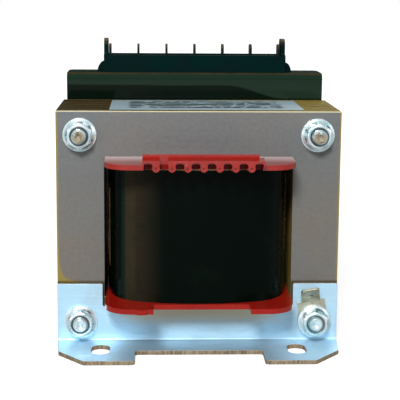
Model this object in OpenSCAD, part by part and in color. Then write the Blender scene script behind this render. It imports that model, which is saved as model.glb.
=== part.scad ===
// Open frame mains transformer: a laminated core clamped by four through bolts
// between two folded foot brackets, with a moulded bobbin and a terminal strip on top.
// Units are millimetres. The feet stand on z = 0, and the comb side faces -Y.

/* [Core] */
// Width of the centre leg that the bobbin slides on
tongue_w = 32; // [26:0.5:40]
// Width of each outer leg
leg_w = 16; // [14:0.5:22]
// Width of each window
window_w = 16; // [15:0.5:22]
// Height of each window
window_h = 48; // [42:0.5:60]
// Height of each yoke
yoke_h = 16; // [15:0.5:22]
// Depth of the stack of laminations
stack = 40; // [32:0.5:56]
// Thickness of one lamination
lam_t = 0.5; // [0.35:0.05:0.65]
// Laminations that lie the same way round in one interleaved pack
pack_laminations = 8; // [6:1:12]
// Varnish between two packs
varnish_t = 0.02; // [0.01:0.01:0.05]
// Height of the core above the mounting plane
core_lift = 0.5; // [0.2:0.1:1.5]

/* [Bolts] */
// Diameter of the core bolts
bolt_d = 5; // [4:0.5:6]
// Clearance of the bolt holes over the bolt
bolt_clearance = 0.5; // [0.3:0.1:1]
// Distance from a bolt to the side of the core
bolt_inset_x = 8; // [7:0.5:9]
// Distance from a bolt to the top or bottom of the core
bolt_inset_z = 8; // [7.5:0.25:9]
// Bolt thread that stands out of the lower nuts
bolt_end = 1.2; // [0.9:0.1:3]
// Chamfer on the end of a bolt
bolt_chamfer = 0.7; // [0.3:0.1:1]
// Reach of that chamfer in from the side of the bolt
bolt_chamfer_in = 0.5; // [0.2:0.1:0.6]
// Diameter of the forging dimple in a bolt end
dimple_d = 2.3; // [1:0.1:2.6]
// Depth of that dimple
dimple_depth = 0.5; // [0.2:0.1:1]
// Height of a bolt head
head_h = 3.5; // [2.5:0.1:5]
// Width across the flats of heads and nuts
hex_af = 8; // [7.5:0.25:9]
// Height of the turned corners of heads and nuts
hex_turn = 0.6; // [0.3:0.1:1]
// Height of a flange nut
nut_h = 5; // [4:0.1:6]
// Diameter of the flange of a nut
nut_flange_d = 11.3; // [10.5:0.1:12.5]
// Thickness of that flange at its rim
nut_rim_t = 0.9; // [0.5:0.1:1.4]
// Bevel round that rim
nut_rim_bevel = 0.25; // [0.1:0.05:0.4]
// Step between the flats of a nut and the cone of its flange
nut_cone_step = 0.3; // [0.1:0.1:0.6]
// Depth of the countersink in a nut
nut_countersink = 0.5; // [0.2:0.1:0.8]
// Clearance between the bolt and the thread of its nut
thread_clearance = 0.06; // [0.04:0.01:0.15]
// Outer diameter of the washers under the bolt heads
washer_d = 10; // [9.5:0.1:12]
// Thickness of those washers
washer_t = 1; // [0.6:0.1:1.6]

/* [Bobbin] */
// Clearance between the bobbin and the core
bobbin_fit = 0.2; // [0.1:0.05:0.4]
// Wall of the tube
tube_wall = 1.2; // [0.8:0.1:1.6]
// Thickness of the flanges inside the windows
flange_t = 0.8; // [0.6:0.1:1.6]
// Thickness of the flanges in front of and behind the core
flange_edge_t = 1.7; // [1.4:0.1:3]
// Gap between a flange and the outer legs
flange_side_gap = 0.5; // [0.3:0.1:2]
// Reach of the flanges past the faces of the core
flange_reach = 20; // [18:0.5:22]
// Corner radius of the flanges
flange_corner = 9; // [4:0.5:11]
// Width of the set-back part of the bottom flange
setback_w = 32; // [20:1:36]
// Depth of that set-back
setback_depth = 6; // [2:0.5:6]
// Radius of the gate boss on the left front lobe of the bottom flange
gate_r = 3; // [2:0.1:4]
// Reach of the gate boss past the edge of the flange
gate_proud = 1; // [0.5:0.1:1.5]

/* [Comb] */
// Number of teeth
tooth_count = 7; // [5:1:7]
// Pitch of the teeth
tooth_pitch = 5.08; // [4:0.02:5.6]
// Width of a tooth
tooth_w = 2.3; // [1.6:0.1:2.8]
// Height of a tooth, from under the ledge to its round end
tooth_h = 3.5; // [3:0.1:4]
// Bore for a pin in a tooth
pin_d = 1; // [0.6:0.1:1.2]
// Depth of that bore
pin_depth = 0.6; // [0.3:0.1:3]
// Shift of the teeth and of the set-back to the right of the middle
comb_shift = 0.7; // [-1:0.1:1]
// Height of the ridge above the flange
ridge_h = 3.1; // [2.5:0.1:4]
// Thickness of the ridge
ridge_t = 2; // [1.4:0.1:3]
// Set-back of the ridge from the edge of the flange
ridge_back = 2.3; // [1:0.1:3]
// Ridge past the outer teeth
ridge_end = 2.5; // [1.5:0.1:4]
// Reach of the ledge past the edge of the flange
ledge_reach = 3.2; // [2.5:0.1:5]
// Thickness of the ledge at its front
ledge_t = 1.9; // [1.5:0.1:2.2]
// Fall of the top of the ledge to its front
ledge_fall = 0.3; // [0:0.1:0.8]
// Wall of the ledge outside its outer recesses
ledge_end = 0.5; // [0.3:0.1:1]
// Reach of the round ends of the teeth past the ledge
tooth_proud = 0.5; // [0.2:0.1:1]
// Overlap of the teeth with the edge of the flange
tooth_root = 0.5; // [0.2:0.1:1]
// Bay between two teeth, counted from the left, where a notch goes through the ledge
notch_bay = 1; // [1:1:4]
// Depth of the wire recesses between the teeth, into the flange
recess_depth = 2.3; // [1.6:0.1:3]
// Thickness of the ledge over the arched top of a recess
arch_t = 0.6; // [0.4:0.1:1]
// Rounding of that arch, as a share of half its width
arch_share = 0.75; // [0.3:0.05:0.95]
// Overlap of the ledge with the edge of the flange
ledge_sink = 0.2; // [0.1:0.1:0.5]

/* [Windings] */
// Build of the primary winding over the tube
primary_build = 5.3; // [4.5:0.1:5.8]
// Build of the insulation between the windings
insulation_build = 0.6; // [0.3:0.1:1]
// Build of the secondary winding
secondary_build = 4.9; // [4:0.1:5.3]
// Build of the outer tape
tape_build = 0.8; // [0.4:0.1:0.9]
// Gap between the rounded sides of the coil and the outer legs
coil_side_gap = 0.8; // [0.3:0.1:1.5]
// Corner radius of the coil
coil_corner = 15; // [12:0.5:16]
// Set-back of the coil's front at its corners
front_fall = 2; // [1:0.1:3]
// Set-back of the coil's sides at its corners
side_fall = 1.5; // [0.5:0.1:3]
// Height of the margin collar under the top flange
collar_h = 1.2; // [0.5:0.1:2]

/* [Foot brackets] */
// Thickness of the sheet
foot_t = 1.5; // [1:0.1:2]
// Inner radius of the sheet's bends
bend_r = 0.8; // [0.5:0.1:1.5]
// Height of the upright of a foot bracket
upright_h = 21.5; // [18:0.5:26]
// Corner radius of the upright
upright_corner = 0.5; // [0.3:0.1:2]
// Gap between the sides of the bobbin and the cut-out of the upright
cutout_gap = 1.1; // [0.6:0.1:2]
// Gap under the bobbin in that cut-out
cutout_drop = 2.2; // [1:0.1:3]
// Reach of the feet past the faces of the core
foot_reach = 24.5; // [22:0.5:30]
// Reach of the foot between its two lugs
web_reach = 13.5; // [8:0.5:15]
// Width of the gap between the two lugs
lug_gap = 42.8; // [34:0.2:48]
// Taper of the foot's sides
foot_taper = 1; // [0:0.1:2]
// Chamfer of the lugs along X
lug_chamfer_x = 8.8; // [5:0.1:10]
// Chamfer of the lugs along Y
lug_chamfer_y = 11; // [6:0.5:11.5]
// Corner radius of the lugs
lug_corner = 1.2; // [0.5:0.1:1.5]
// Distance between the left and the right slots
slot_spacing_x = 66; // [60:0.5:68]
// Distance from the face of the core to the middle of a slot
slot_out = 12; // [10:0.25:14]
// Width of a slot
slot_w = 6.2; // [4.5:0.1:7]
// Length of a slot
slot_len = 10.4; // [8:0.1:12]

/* [Earth tab] */
// Thickness of the tab
tab_t = 0.8; // [0.5:0.1:1]
// Width of the blade
tab_w = 6.3; // [4.8:0.1:7]
// Length of the blade past the bend
tab_blade_len = 8; // [6:0.1:10]
// Outer diameter of the ring
tab_ring_d = 11.5; // [9.5:0.1:12.5]
// Width of the shoulders
tab_shoulder_w = 9.6; // [8:0.1:10.5]
// Distance from the bolt to the bend
tab_bend_out = 7.2; // [6.8:0.1:9]
// Angle of the bend
tab_bend = 45; // [20:5:60]
// Turn of the tab on its bolt
tab_turn = 10.4; // [0:0.2:15]
// Diameter of the detent hole in the blade
tab_hole_d = 1.6; // [1:0.1:2]
// Distance from the bend to that hole
tab_hole_out = 4.5; // [3.5:0.1:5.5]
// Bevel at the tip of the blade
tab_bevel = 0.7; // [0.3:0.1:1.2]

/* [Terminals] */
// Thickness of the terminal bracket
bracket_t = 1.5; // [1:0.1:2]
// Gap between the ends of the terminal bracket and the sides of the core
bracket_inset = 1.2; // [0.4:0.1:3]
// Rise of the terminal bracket over the core
bracket_rise = 9.8; // [8.5:0.1:14]
// Reach of the terminal bracket behind the core
bracket_reach = 16.5; // [16:0.5:22]
// Corner radius of the terminal bracket
bracket_corner = 2; // [0.5:0.1:3]
// Gap between the terminal bracket and the bobbin flange
bracket_gap = 0.6; // [0.3:0.1:1]
// Sheet of the terminal bracket below the washers
bracket_edge = 1.5; // [0.5:0.1:2]
// Number of blades
blade_count = 7; // [7:1:7]
// Pitch of the blades
blade_pitch = 10.4; // [9.8:0.1:11]
// Thickness of a blade
blade_t = 0.8; // [0.6:0.1:1.2]
// Width of a blade
blade_w = 6.3; // [4.8:0.1:6.6]
// Height of the blades over the terminal bracket
blade_rise = 10.1; // [9:0.1:14]
// Bevel at the tip of a blade
blade_bevel = 1; // [0.5:0.1:1.5]
// Diameter of the detent hole in a blade
blade_hole_d = 1.6; // [1:0.1:2]
// Distance from the tip of a blade to its hole
blade_hole_drop = 3.2; // [2.5:0.1:4]
// Width of the solder tail
tail_w = 2.8; // [2:0.1:3.4]
// Length of the solder tail under the strip
tail_len = 6.3; // [5:0.1:9]
// Diameter of the wire hole in a tail
tail_hole_d = 1.3; // [0.8:0.1:1.6]
// Bevel at the tip of a tail
tail_bevel = 0.5; // [0.2:0.1:0.9]
// Distance from the tip of a tail to its wire hole
tail_hole_rise = 1.6; // [1.3:0.1:2.5]
// Height of the blades' shoulders over the terminal bracket
shoulder_rise = 1; // [0.5:0.1:1.5]
// Clearance of a blade in the strip
blade_clearance = 0.1; // [0.05:0.01:0.2]

/* [Terminal strip] */
// Depth of the strip from front to back
strip_depth = 13; // [12:0.1:13.2]
// Gap between the bend of the terminal bracket and the strip
strip_setback = 0.3; // [0.1:0.1:0.5]
// Height of the front wall
strip_wall_h = 6.3; // [4:0.1:8]
// Thickness of the walls
strip_wall_t = 1.5; // [1:0.1:1.8]
// Thickness of the floor
strip_floor_t = 2.5; // [1.8:0.1:3.4]
// Thickness of the end cheeks
cheek_t = 1.5; // [0.8:0.1:1.8]
// Height of the end cheeks
cheek_h = 12.2; // [10:0.1:15]
// Width of the upper part of the cheeks
cheek_w = 8; // [6:0.1:10]
// Corner radius of the cheeks
cheek_corner = 2.6; // [1:0.1:2.9]
// Radius of the small corners of the cheeks
cheek_fillet = 0.8; // [0.3:0.1:1.2]
// Gap between the end blades and the cheeks
cheek_gap = 0.3; // [0.2:0.1:1]
// Reach of the ears outside the cheeks
ear_reach = 2.5; // [1.5:0.1:3.5]
// Height of the ears
ear_h = 3.7; // [2.5:0.1:5]
// Width of the ears
ear_w = 6; // [4:0.1:8]
// Width of the boss that holds a blade
boss_w = 3.2; // [2.4:0.1:3.6]
// Height of that boss over the floor
boss_h = 2.4; // [1.2:0.1:3.4]
// Wall of the boss beyond the ends of the blade
boss_end = 0.9; // [0.6:0.1:1.2]
// Diameter of the strip's rivets
rivet_d = 3; // [2.4:0.1:3.2]
// Diameter of the rivet heads
rivet_head_d = 5; // [4:0.1:5.4]
// Height of the rivet heads
rivet_head_h = 1.1; // [0.7:0.1:1.4]
// Slope of the rivet heads, from the rim in
rivet_slope = 1; // [0.5:0.1:1.2]
// Clearance round a rivet
rivet_clearance = 0.1; // [0.05:0.01:0.2]
// Width of the windows for the tails, from front to back
tail_window = 7.4; // [6:0.1:8]
// Gap between a tail and the end of its window
tail_window_gap = 1.9; // [1:0.1:2.2]

/* [Label] */
// Width of the label
label_w = 66; // [40:1:74]
// Depth of the label
label_d = 32; // [20:1:32]
// Thickness of the label
label_t = 0.15; // [0.1:0.01:0.3]
// Shift of the label to the right of the middle
label_shift = 2.8; // [-3:0.1:3]

/* [Lead wires] */
// Diameter of a sleeved lead
lead_d = 1; // [0.6:0.1:1.4]
// Gap between a lead and what it passes
lead_gap = 0.15; // [0.1:0.01:0.3]
// Height of a lead's upper end over the tip of its tail
lead_joint = 0.9; // [0.5:0.1:2]
// Straight drop of a lead below its tail
lead_drop = 2.5; // [1.5:0.1:4]
// Reach of a lead behind its tail in its sweep to the comb
lead_sweep = 6; // [4:0.5:7]
// Height over the ledge at which a lead turns down to it
lead_rise = 3; // [2:0.5:5]

/* [Hidden] */
$fn = 48;
eps = 0.01;
// Sides of a round stretch in an outline, for each quarter turn
quarter = 8;

core_w = tongue_w + 2 * window_w + 2 * leg_w;
core_h = window_h + 2 * yoke_h;
core_top = core_lift + core_h;
half_stack = stack / 2;
window_floor = core_lift + yoke_h;
window_roof = window_floor + window_h;
window_side = tongue_w / 2 + window_w;
pack_n = max(2, round(stack / (lam_t * pack_laminations)));
pack_pitch = (stack + varnish_t) / pack_n;

bolt_x = core_w / 2 - bolt_inset_x;
bolt_low = core_lift + bolt_inset_z;
bolt_high = core_top - bolt_inset_z;
bolt_hole_d = bolt_d + bolt_clearance;
bolt_seat_y = half_stack + bracket_t;
bolt_tip_y = -(half_stack + foot_t + nut_h + bolt_end);

tube_x = tongue_w / 2 + bobbin_fit + tube_wall;
tube_y = half_stack + bobbin_fit + tube_wall;
flange_x = window_side - flange_side_gap;
flange_y = half_stack + flange_reach;
bobbin_floor = window_floor + bobbin_fit;
bobbin_roof = window_roof - bobbin_fit;
coil_floor = bobbin_floor + flange_t;
coil_roof = bobbin_roof - flange_t;
flange_low = coil_floor - flange_edge_t;
flange_high = coil_roof + flange_edge_t;

tooth_gap = tooth_pitch - tooth_w;
ridge_x = (tooth_count - 1) / 2 * tooth_pitch + tooth_w / 2 + ridge_end;
ledge_x = (tooth_count * tooth_pitch + tooth_gap) / 2 + ledge_end;
gate_x = (flange_x - flange_corner + setback_w / 2) / 2;
ridge_y = flange_y - ridge_back;
ledge_y = flange_y + ledge_reach;
ledge_under = flange_high - ledge_sink;
ledge_front = ledge_under + ledge_t;
ledge_back = ledge_front + ledge_fall;

winding_top = coil_roof - collar_h;
secondary_depth = tape_build + secondary_build;
primary_depth = secondary_depth + insulation_build;
coil_side = window_side - coil_side_gap;
coil_front = tube_y + primary_build + insulation_build + secondary_build + tape_build;
coil_mid = [coil_side - coil_corner - side_fall, coil_front - coil_corner - front_fall];
// Centres of the coil's rounded front and side, as distances behind the middle
front_back = (coil_mid * coil_mid - pow(coil_mid.y + front_fall, 2)) / (2 * front_fall);
side_back = (coil_mid * coil_mid - pow(coil_mid.x + side_fall, 2)) / (2 * side_fall);

bracket_top = core_top + bracket_rise;
bracket_foot = max(flange_high + bracket_gap, bolt_high - washer_d / 2 - bracket_edge);
strip_front = half_stack + bracket_t + bend_r + strip_setback;
strip_mid = strip_front + strip_depth / 2;
strip_floor = bracket_top + strip_floor_t;
strip_end = (blade_count - 1) / 2 * blade_pitch + blade_t / 2 + cheek_gap + cheek_t;
tail_seat = bracket_top + shoulder_rise;
rivet_x = (blade_count - 2) / 2 * blade_pitch;

// ---------- outlines ----------

function unit(v) = v / norm(v);

function arc(centre, r, from, to, n) =
    [for (i = [0 : n]) let (a = from + (to - from) * i / n) centre + r * [cos(a), sin(a)]];

// The arc that rounds the corner b, between a and c, to the radius r
function corner(a, b, c, r) =
    let (
        u = unit(a - b),
        v = unit(c - b),
        half = acos(max(-1, min(1, u * v))) / 2,
        centre = b + unit(u + v) * r / sin(half),
        p = b + u * r / tan(half) - centre,
        start = atan2(p.y, p.x),
        turn = sign(cross(v, u)) * (180 - 2 * half),
        n = max(2, round(abs(turn) / 90 * quarter))
    )
    arc(centre, r, start, start + turn, n);

// An outline from corners of the form [x, y, radius], where a radius of 0 stays sharp
function rounded(corners) =
    let (n = len(corners))
    [for (i = [0 : n - 1])
        let (
            a = corners[(i + n - 1) % n],
            b = corners[i],
            c = corners[(i + 1) % n]
        )
        each b[2] > 0 ? corner([a.x, a.y], [b.x, b.y], [c.x, c.y], b[2]) : [[b.x, b.y]]
    ];

// A half outline on the right, from the middle line back to it, made whole without its middle points
function whole(points) =
    let (half = [for (p = points) if (p.x > eps) p])
    concat(half, [for (i = [len(half) - 1 : -1 : 0]) [-half[i].x, half[i].y]]);

// ---------- general shapes ----------

// Extrudes an outline in X and Z along Y, from y = a to y = b
module along_y(a, b) {
    translate([0, b, 0]) rotate([90, 0, 0]) linear_extrude(b - a) children();
}

// Extrudes an outline in Y and Z along X, for the width w about the middle
module across(w) {
    translate([-w / 2, 0, 0]) rotate([90, 0, 90]) linear_extrude(w) children();
}

module hex_prism(af, h) {
    rotate(30) cylinder(d = af / cos(30), h = h, $fn = 6);
}

// A hex with its outer corners turned off by a cone at the top
module turned_hex(af, h) {
    intersection() {
        hex_prism(af, h);
        union() {
            cylinder(d = 2 * af, h = h - hex_turn);
            translate([0, 0, h - hex_turn])
                cylinder(d1 = af / cos(30) + hex_turn, d2 = af - hex_turn, h = hex_turn);
        }
    }
}

// A round tube of the radius r along a route
module tube_along(route, r, sides = 8) {
    last = len(route) - 1;
    tangents = [for (i = [0 : last])
        unit(route[min(i + 1, last)] - route[max(i - 1, 0)])];
    rings = [for (i = [0 : last])
        let (
            across_route = unit(cross(tangents[i], [1, 0, 0])),
            third = cross(tangents[i], across_route)
        )
        each [for (k = [0 : sides - 1])
            route[i] + r * (cos(360 * k / sides) * across_route + sin(360 * k / sides) * third)]
    ];
    walls = [for (i = [0 : last - 1], k = [0 : sides - 1])
        let (n = (k + 1) % sides)
        [i * sides + k, i * sides + n, (i + 1) * sides + n, (i + 1) * sides + k]];
    ends = [
        [for (k = [sides - 1 : -1 : 0]) k],
        [for (k = [0 : sides - 1]) last * sides + k]
    ];
    polyhedron(rings, concat(walls, ends));
}

// ---------- core ----------

// An E stands on its legs with its yoke at the top
module e_outline() {
    difference() {
        translate([-core_w / 2, 0]) square([core_w, window_h + yoke_h]);
        for (side = [-1, 1])
            translate([side * (tongue_w + window_w) / 2 - window_w / 2, -1])
                square([window_w, window_h + 1]);
        for (side = [-1, 1])
            translate([side * bolt_x, window_h + yoke_h - bolt_inset_z])
                circle(d = bolt_hole_d);
    }
}

module i_outline() {
    difference() {
        translate([-core_w / 2, 0]) square([core_w, yoke_h]);
        for (side = [-1, 1]) translate([side * bolt_x, bolt_inset_z]) circle(d = bolt_hole_d);
    }
}

// Pack 0 is at the front, and every second pack is turned upside down
module packs() {
    for (k = [0 : pack_n - 1]) {
        front = -half_stack + k * pack_pitch;
        along_y(front, front + pack_pitch - varnish_t)
            translate([0, core_lift + core_h / 2])
                mirror([0, k % 2])
                    translate([0, -core_h / 2])
                        children();
    }
}

module e_laminations() {
    color("#8b8a86") packs() translate([0, yoke_h]) e_outline();
}

module i_laminations() {
    color("#8b8a86") packs() i_outline();
}

// ---------- bobbin ----------

module flange_outline() {
    polygon(rounded([
        [flange_x, -flange_y, flange_corner],
        [flange_x, flange_y, flange_corner],
        [-flange_x, flange_y, flange_corner],
        [-flange_x, -flange_y, flange_corner]
    ]));
}

module setback_outline() {
    for (side = [-1, 1])
        translate([comb_shift, side * (flange_y - setback_depth / 2 + 1)])
            square([setback_w, setback_depth + 2], center = true);
}

// The thick part of a flange lies in front of the core and behind it
module flange_edges(low) {
    difference() {
        translate([0, 0, low]) linear_extrude(flange_edge_t) flange_outline();
        translate([-flange_x - 1, -half_stack - bobbin_fit, low - 1])
            cube([2 * flange_x + 2, stack + 2 * bobbin_fit, flange_edge_t + 2]);
    }
}

// The ledge along the front edge of the top flange, in section
module ledge_section() {
    polygon([
        [-ridge_y + ridge_t / 2, ledge_under],
        [-ledge_y, ledge_under],
        [-ledge_y, ledge_front],
        [-ridge_y, ledge_back],
        [-ridge_y + ridge_t / 2, ledge_back]
    ]);
}

// A tooth is a web as deep as the ledge, with a round lower end that stands out of it
module tooth() {
    low = ledge_front - tooth_h + tooth_w / 2;
    difference() {
        union() {
            along_y(-ledge_y, -flange_y + tooth_root)
                translate([-tooth_w / 2, low]) square([tooth_w, flange_high - low]);
            along_y(-ledge_y - tooth_proud, -flange_y + tooth_root)
                translate([0, low]) circle(d = tooth_w);
        }
        translate([0, -ledge_y - tooth_proud + pin_depth, low])
            rotate([90, 0, 0]) cylinder(d = pin_d, h = pin_depth + 1);
    }
}

module comb() {
    translate([-ridge_x, -ridge_y, flange_high - flange_t])
        cube([2 * ridge_x, ridge_t, ridge_h + flange_t]);
    translate([comb_shift, 0, 0]) {
        across(2 * ledge_x) ledge_section();
        for (k = [0 : tooth_count - 1])
            translate([(k - (tooth_count - 1) / 2) * tooth_pitch, 0, 0]) tooth();
    }
}

// Wires leave the coil through an arched recess on each side of every tooth, and one bay is
// open through the ledge
module wire_recesses() {
    top = ledge_front - arch_t;
    r = arch_share * tooth_gap / 2;
    translate([comb_shift - tooth_count / 2 * tooth_pitch, 0, 0]) {
        for (k = [0 : tooth_count])
            translate([k * tooth_pitch, 0, 0])
                along_y(-ledge_y - 1, -flange_y + recess_depth)
                    polygon(rounded([
                        [-tooth_gap / 2, coil_roof - 1, 0],
                        [tooth_gap / 2, coil_roof - 1, 0],
                        [tooth_gap / 2, top, r],
                        [-tooth_gap / 2, top, r]
                    ]));
        translate([notch_bay * tooth_pitch - tooth_gap / 2, -ledge_y - 1, ledge_under - 1])
            cube([tooth_gap, ledge_y - ridge_y + 1, ledge_t + ledge_fall + 2]);
    }
}

module bobbin() {
    color("#b02c1e") difference() {
        union() {
            translate([-tube_x, -tube_y, bobbin_floor])
                cube([2 * tube_x, 2 * tube_y, bobbin_roof - bobbin_floor]);
            difference() {
                union() {
                    translate([0, 0, bobbin_floor]) linear_extrude(flange_t) flange_outline();
                    flange_edges(flange_low);
                    translate([-gate_x, -flange_y - gate_proud + gate_r, flange_low])
                        cylinder(r = gate_r, h = flange_edge_t);
                }
                translate([0, 0, flange_low - 1])
                    linear_extrude(flange_edge_t + 2) setback_outline();
            }
            translate([0, 0, coil_roof]) linear_extrude(flange_t) flange_outline();
            flange_edges(coil_roof);
            comb();
            mirror([0, 1, 0]) comb();
        }
        wire_recesses();
        mirror([0, 1, 0]) wire_recesses();
        translate([-tube_x + tube_wall, -tube_y + tube_wall, bobbin_floor - 1])
            cube([2 * (tube_x - tube_wall), 2 * (tube_y - tube_wall), core_h]);
    }
}

// ---------- windings ----------

// Depth of the coil's face in front of the middle, at a distance x to its side
function coil_face(x) =
    let (
        big = coil_front + front_back,
        turn_x = coil_mid.x * big / (big - coil_corner)
    )
    x < turn_x
        ? sqrt(big * big - x * x) - front_back
        : coil_mid.y + sqrt(coil_corner * coil_corner - pow(x - coil_mid.x, 2));

// Right rear quarter of the coil at a depth below its face, as three arcs that run into each other
function coil_quarter(depth) =
    let (
        side_turn = atan2(coil_mid.y, coil_mid.x + side_back),
        front_turn = atan2(coil_mid.y + front_back, coil_mid.x),
        side = arc([-side_back, 0], coil_side + side_back - depth, 0, side_turn, quarter),
        turn = arc(coil_mid, coil_corner - depth, side_turn, front_turn, quarter),
        front = arc([0, -front_back], coil_front + front_back - depth, front_turn, 90, quarter)
    )
    [each side, for (i = [1 : quarter]) turn[i], for (i = [1 : quarter]) front[i]];

module coil_outline(depth) {
    rear = coil_quarter(depth);
    left = [for (i = [len(rear) - 2 : -1 : 0]) [-rear[i].x, rear[i].y]];
    half = concat(rear, left);
    front = [for (i = [len(half) - 2 : -1 : 1]) [half[i].x, -half[i].y]];
    polygon(concat(half, front));
}

module tube_outline() {
    square([2 * tube_x, 2 * tube_y], center = true);
}

// A layer of the coil between two depths below its face
module coil_layer(outer, inner, low, high) {
    translate([0, 0, low]) linear_extrude(high - low) difference() {
        coil_outline(outer);
        coil_outline(inner);
    }
}

module primary_winding() {
    color("#b5653a") translate([0, 0, coil_floor]) linear_extrude(winding_top - coil_floor)
        difference() {
            coil_outline(primary_depth);
            tube_outline();
        }
}

module interlayer_insulation() {
    color("#d8c9a0") coil_layer(secondary_depth, primary_depth, coil_floor, winding_top);
}

module secondary_winding() {
    color("#c07a44") coil_layer(tape_build, secondary_depth, coil_floor, winding_top);
}

module outer_tape() {
    color("#101412") coil_layer(0, tape_build, coil_floor, winding_top);
}

module margin_collar() {
    color("#d9c7a2") translate([0, 0, winding_top]) linear_extrude(collar_h)
        difference() {
            coil_outline(tape_build / 2);
            tube_outline();
        }
}

// ---------- fasteners ----------

module core_bolt() {
    shank = bolt_seat_y + washer_t - bolt_tip_y;
    difference() {
        union() {
            turned_hex(hex_af, head_h);
            translate([0, 0, -shank + bolt_chamfer])
                cylinder(d = bolt_d, h = shank - bolt_chamfer + 1);
            translate([0, 0, -shank])
                cylinder(d1 = bolt_d - 2 * bolt_chamfer_in, d2 = bolt_d, h = bolt_chamfer);
        }
        translate([0, 0, -shank - eps]) cylinder(d1 = dimple_d, d2 = dimple_d / 2, h = dimple_depth);
    }
}

module core_bolts() {
    color("#c9d3d8") for (x = [-bolt_x, bolt_x], z = [bolt_low, bolt_high])
        translate([x, bolt_seat_y + washer_t, z]) rotate([-90, 0, 0]) core_bolt();
}

module rear_washers() {
    color("#c9d3d8") for (x = [-bolt_x, bolt_x], z = [bolt_low, bolt_high])
        translate([x, bolt_seat_y, z]) rotate([-90, 0, 0]) difference() {
            cylinder(d = washer_d, h = washer_t);
            translate([0, 0, -1]) cylinder(d = bolt_hole_d, h = washer_t + 2);
        }
}

module flange_nut() {
    bore = bolt_d + 2 * thread_clearance;
    rim = nut_flange_d - 2 * nut_rim_bevel;
    difference() {
        union() {
            cylinder(d = nut_flange_d, h = nut_rim_t);
            translate([0, 0, nut_rim_t])
                cylinder(d1 = rim, d2 = hex_af + nut_cone_step, h = nut_rim_t);
            turned_hex(hex_af, nut_h);
        }
        translate([0, 0, -1]) cylinder(d = bore, h = nut_h + 2);
        translate([0, 0, nut_h - nut_countersink])
            cylinder(d1 = bore, d2 = bore + 2 * nut_countersink, h = nut_countersink + eps);
    }
}

// Each nut seats on what its bolt clamps: the core, a bracket, or the earth tab
module flange_nuts() {
    seats = [
        [-bolt_x, 0, bolt_high],
        [bolt_x, 0, bolt_high],
        [-bolt_x, foot_t, bolt_low],
        [bolt_x, foot_t + tab_t, bolt_low]
    ];
    color("#d3dde2") for (seat = seats)
        translate([seat.x, -half_stack - seat.y, seat.z]) rotate([90, 0, 0]) flange_nut();
}

// ---------- foot brackets ----------

module foot_section() {
    polygon(rounded([
        [-half_stack, upright_h, 0],
        [-half_stack, 0, bend_r + foot_t],
        [-half_stack - foot_reach, 0, 0],
        [-half_stack - foot_reach, foot_t, 0],
        [-half_stack - foot_t, foot_t, bend_r],
        [-half_stack - foot_t, upright_h, 0]
    ]));
}

// Plan of the feet, with two lugs and the set-back web between them
module foot_plan() {
    side = core_w / 2;
    lug_y = -half_stack - foot_reach;
    web_y = -half_stack - web_reach;
    polygon(whole(rounded([
        [0, web_y, 0],
        [lug_gap / 2, web_y, lug_corner],
        [lug_gap / 2, lug_y, lug_corner],
        [side - foot_taper - lug_chamfer_x, lug_y, lug_corner],
        [side - foot_taper, lug_y + lug_chamfer_y, lug_corner],
        [side, -half_stack - foot_t - bend_r, 0],
        [side, -half_stack + 1, 0],
        [0, -half_stack + 1, 0]
    ])));
}

// The upright seen from the front, with the cut-out that the bobbin needs
module upright_outline() {
    side = core_w / 2;
    cut_x = flange_x + cutout_gap;
    cut_z = flange_low - cutout_drop;
    polygon(whole(rounded([
        [0, -1, 0],
        [side, -1, 0],
        [side, upright_h, upright_corner],
        [cut_x, upright_h, upright_corner],
        [cut_x, cut_z, upright_corner],
        [0, cut_z, 0]
    ])));
}

module slot() {
    run = slot_len - slot_w;
    for (end = [-1, 1]) translate([0, end * run / 2, -1]) cylinder(d = slot_w, h = foot_t + 2);
    translate([-slot_w / 2, -run / 2, -1]) cube([slot_w, run, foot_t + 2]);
}

module foot_bracket() {
    difference() {
        intersection() {
            across(core_w + 2) foot_section();
            translate([0, 0, -1]) linear_extrude(upright_h + 2) foot_plan();
            along_y(-half_stack - foot_reach - 1, -half_stack + 1) upright_outline();
        }
        for (side = [-1, 1]) {
            translate([side * slot_spacing_x / 2, -half_stack - slot_out, 0]) slot();
            translate([side * bolt_x, -half_stack + 1, bolt_low])
                rotate([90, 0, 0]) cylinder(d = bolt_hole_d, h = foot_t + 2);
        }
    }
}

module front_foot_bracket() {
    color("#a9bccb") foot_bracket();
}

module rear_foot_bracket() {
    color("#a9bccb") mirror([0, 1, 0]) foot_bracket();
}

// ---------- earth tab ----------

// The tab stands on its bolt, with its blade bent away from the core
module earth_tab() {
    face = -half_stack - foot_t;
    color("#b9ab92") translate([bolt_x, face, bolt_low]) rotate([0, -tab_turn, 0]) difference() {
        union() {
            along_y(-tab_t, 0) {
                circle(d = tab_ring_d);
                translate([-tab_shoulder_w / 2, 0]) square([tab_shoulder_w, tab_bend_out]);
            }
            translate([0, 0, tab_bend_out]) rotate([tab_bend, 0, 0]) along_y(-tab_t, 0)
                polygon([
                    [-tab_w / 2, 0],
                    [tab_w / 2, 0],
                    [tab_w / 2, tab_blade_len - tab_bevel],
                    [tab_w / 2 - tab_bevel, tab_blade_len],
                    [-tab_w / 2 + tab_bevel, tab_blade_len],
                    [-tab_w / 2, tab_blade_len - tab_bevel]
                ]);
        }
        translate([0, 1, 0]) rotate([90, 0, 0]) cylinder(d = bolt_hole_d, h = tab_t + 2);
        translate([0, 0, tab_bend_out]) rotate([tab_bend, 0, 0])
            translate([0, 1, tab_hole_out])
                rotate([90, 0, 0]) cylinder(d = tab_hole_d, h = tab_t + 2);
    }
}

// ---------- terminals ----------

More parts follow.
